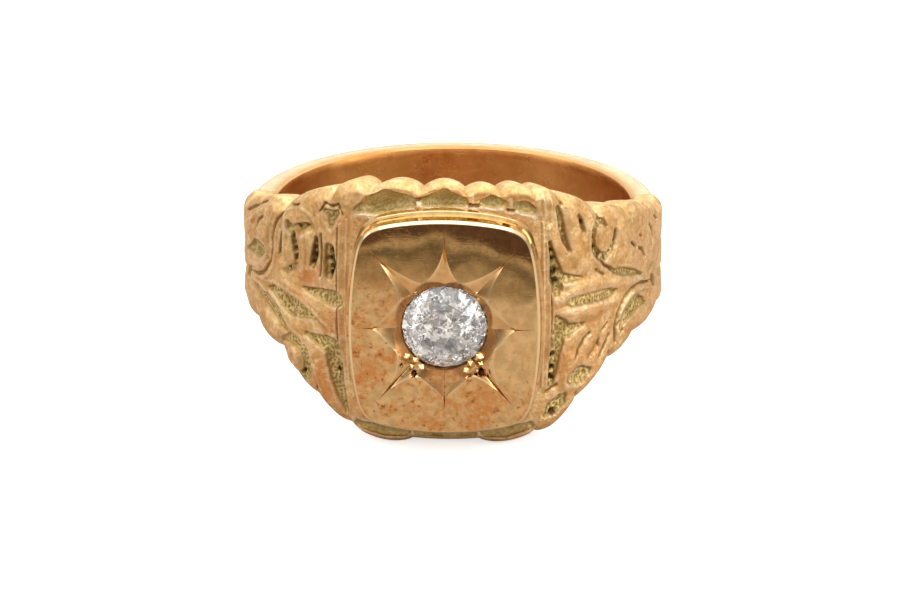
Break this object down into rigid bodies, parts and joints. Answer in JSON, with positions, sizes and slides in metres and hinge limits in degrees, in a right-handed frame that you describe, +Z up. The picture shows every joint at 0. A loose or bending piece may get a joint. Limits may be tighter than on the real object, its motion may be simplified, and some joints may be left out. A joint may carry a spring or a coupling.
{
  "type": "signet ring with a stone",
  "caption": "Gold finger ring with carved leaf shoulders and a cushion-shaped table engraved with a star round a set brilliant, worn on a finger.",
  "frame": {"origin": "on the surface that the ring lies on, under the middle of its box", "axes": "+Z up, +X to the right of the head, the head faces -Y and up by the angle at which the ring rests"},
  "size_m": [0.0222, 0.0246, 0.014],
  "materials": {
    "yellow_gold": "worn polished gold, matted in the pockets of the carving",
    "diamond": "cut and polished"
  },
  "bodies": {
    "root": {"gold_ring": "yellow_gold", "diamond": "diamond"}
  },
  "joints": []
}
